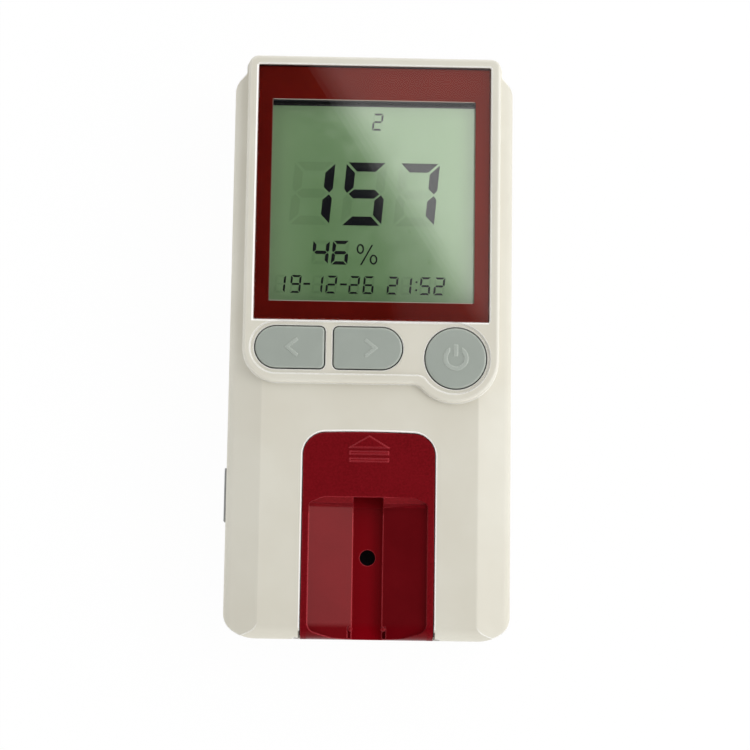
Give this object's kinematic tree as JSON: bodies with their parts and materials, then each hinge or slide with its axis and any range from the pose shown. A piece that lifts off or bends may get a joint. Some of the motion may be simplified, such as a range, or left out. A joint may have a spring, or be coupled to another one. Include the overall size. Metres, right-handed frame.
{
  "type": "handheld haemoglobin meter",
  "caption": "Hand-held blood meter with a large framed display, flush keys, a pull-out grooved strip carrier over a light sensor, and a sliding battery door.",
  "frame": {"origin": "centre of the footprint, on the flat back face", "axes": "+X to the right across the face, +Y along the face towards the display end, +Z out of the face; stored lying on its back"},
  "size_m": [0.0725, 0.1486, 0.0303],
  "materials": {
    "shell_ivory": "fine satin texture",
    "window_clear": "clear polished acrylic",
    "mask_red": "printed behind the window",
    "tape_black": "foam",
    "display_glass": "grey-green display glass",
    "holder_grey": "satin",
    "zebra_rubber": "striped",
    "board_green": "lacquered",
    "chip_black": "moulded",
    "socket_steel": "satin",
    "cover_rubber": "smooth",
    "key_grey": "satin with paler raised symbols",
    "dome_rubber": "smooth",
    "carrier_red": "semi-gloss",
    "lens_dark": "dark polished filter glass",
    "optic_black": "matt",
    "lamp_clear": "clear moulded",
    "ribbon_white": "flat cable",
    "plug_cream": "moulded",
    "cell_jacket": "plain printed sleeve",
    "spring_steel": "nickel plated",
    "screw_steel": "zinc plated"
  },
  "bodies": {
    "housing": {"front_shell": "shell_ivory", "back_shell": "shell_ivory", "display_window": "window_clear", "window_mask": "mask_red", "window_tape": "tape_black", "display_gasket": "tape_black", "lcd_front_glass": "display_glass", "lcd_rear_glass": "display_glass", "lcd_holder": "holder_grey", "zebra_strip": "zebra_rubber", "main_board": "board_green", "microcontroller": "chip_black", "board_parts": "chip_black", "buzzer": "chip_black", "side_socket": "socket_steel", "left_dome": "dome_rubber", "right_dome": "dome_rubber", "power_dome": "dome_rubber", "optic_lens": "lens_dark", "optic_block": "optic_black", "optic_board": "board_green", "sensor_lamps": "lamp_clear", "light_detector": "chip_black", "ribbon": "ribbon_white", "ribbon_plugs": "plug_cream", "battery_cells": "cell_jacket", "contact_springs": "spring_steel", "contact_plates": "spring_steel", "case_screws": "screw_steel", "board_screws": "screw_steel"},
    "left_key": {"left_key": "key_grey"},
    "right_key": {"right_key": "key_grey"},
    "power_key": {"power_key": "key_grey"},
    "strip_carrier": {"strip_carrier": "carrier_red"},
    "battery_door": {"battery_door": "shell_ivory"},
    "port_cover": {"port_cover": "cover_rubber"}
  },
  "joints": [
    {"name": "left_press", "type": "slide", "parent": "housing", "child": "left_key", "axis": [0, 0, -1], "range_m": [0, 0.0008], "stiffness_N_per_m": 500, "springref_m": -0.0004, "deforming": ["left_dome"]},
    {"name": "right_press", "type": "slide", "parent": "housing", "child": "right_key", "axis": [0, 0, -1], "range_m": [0, 0.0008], "stiffness_N_per_m": 500, "springref_m": -0.0004, "deforming": ["right_dome"]},
    {"name": "power_press", "type": "slide", "parent": "housing", "child": "power_key", "axis": [0, 0, -1], "range_m": [0, 0.0008], "stiffness_N_per_m": 500, "springref_m": -0.0004, "deforming": ["power_dome"]},
    {"name": "carrier_slide", "type": "slide", "parent": "housing", "child": "strip_carrier", "axis": [0, -1, 0], "range_m": [0, 0.052]},
    {"name": "door_slide", "type": "slide", "parent": "housing", "child": "battery_door", "axis": [0, 1, 0], "range_m": [0, 0.065]},
    {"name": "cover_hinge", "type": "hinge", "parent": "housing", "child": "port_cover", "pos_m": [-0.0359, -0.04487, 0.0193], "axis": [0, 0, 1], "range_deg": [0, 110]}
  ]
}
